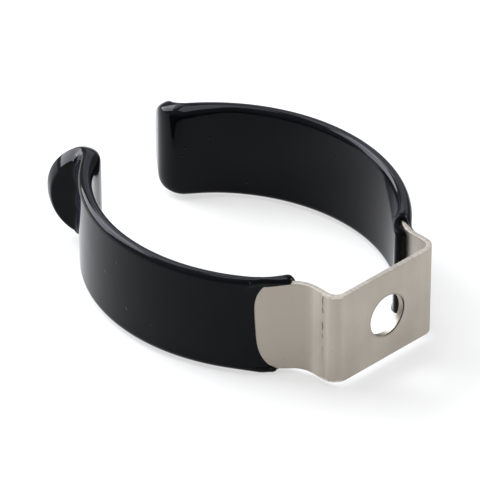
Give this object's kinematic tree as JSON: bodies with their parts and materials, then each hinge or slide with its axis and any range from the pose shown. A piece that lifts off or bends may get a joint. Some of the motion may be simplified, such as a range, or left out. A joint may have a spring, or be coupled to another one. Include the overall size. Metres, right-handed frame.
{
  "type": "spring tool clip",
  "caption": "Sprung steel tool clip with a flat screw-on base and bowed PVC-dipped arms whose flared lips guide a round handle in and hold it.",
  "frame": {"origin": "centre of the screw hole on the base plate's wall face", "axes": "+X out of the wall, through the hole to the mouth; +Z along the held handle; +Y to the left arm"},
  "size_m": [0.0648, 0.049, 0.0188],
  "materials": {
    "plated_steel": "satin nickel plate on spring steel",
    "black_pvc": "glossy black dipped PVC"
  },
  "bodies": {
    "root": {"spring_strip": "plated_steel", "left_arm_sleeve": "black_pvc", "right_arm_sleeve": "black_pvc"}
  },
  "joints": []
}
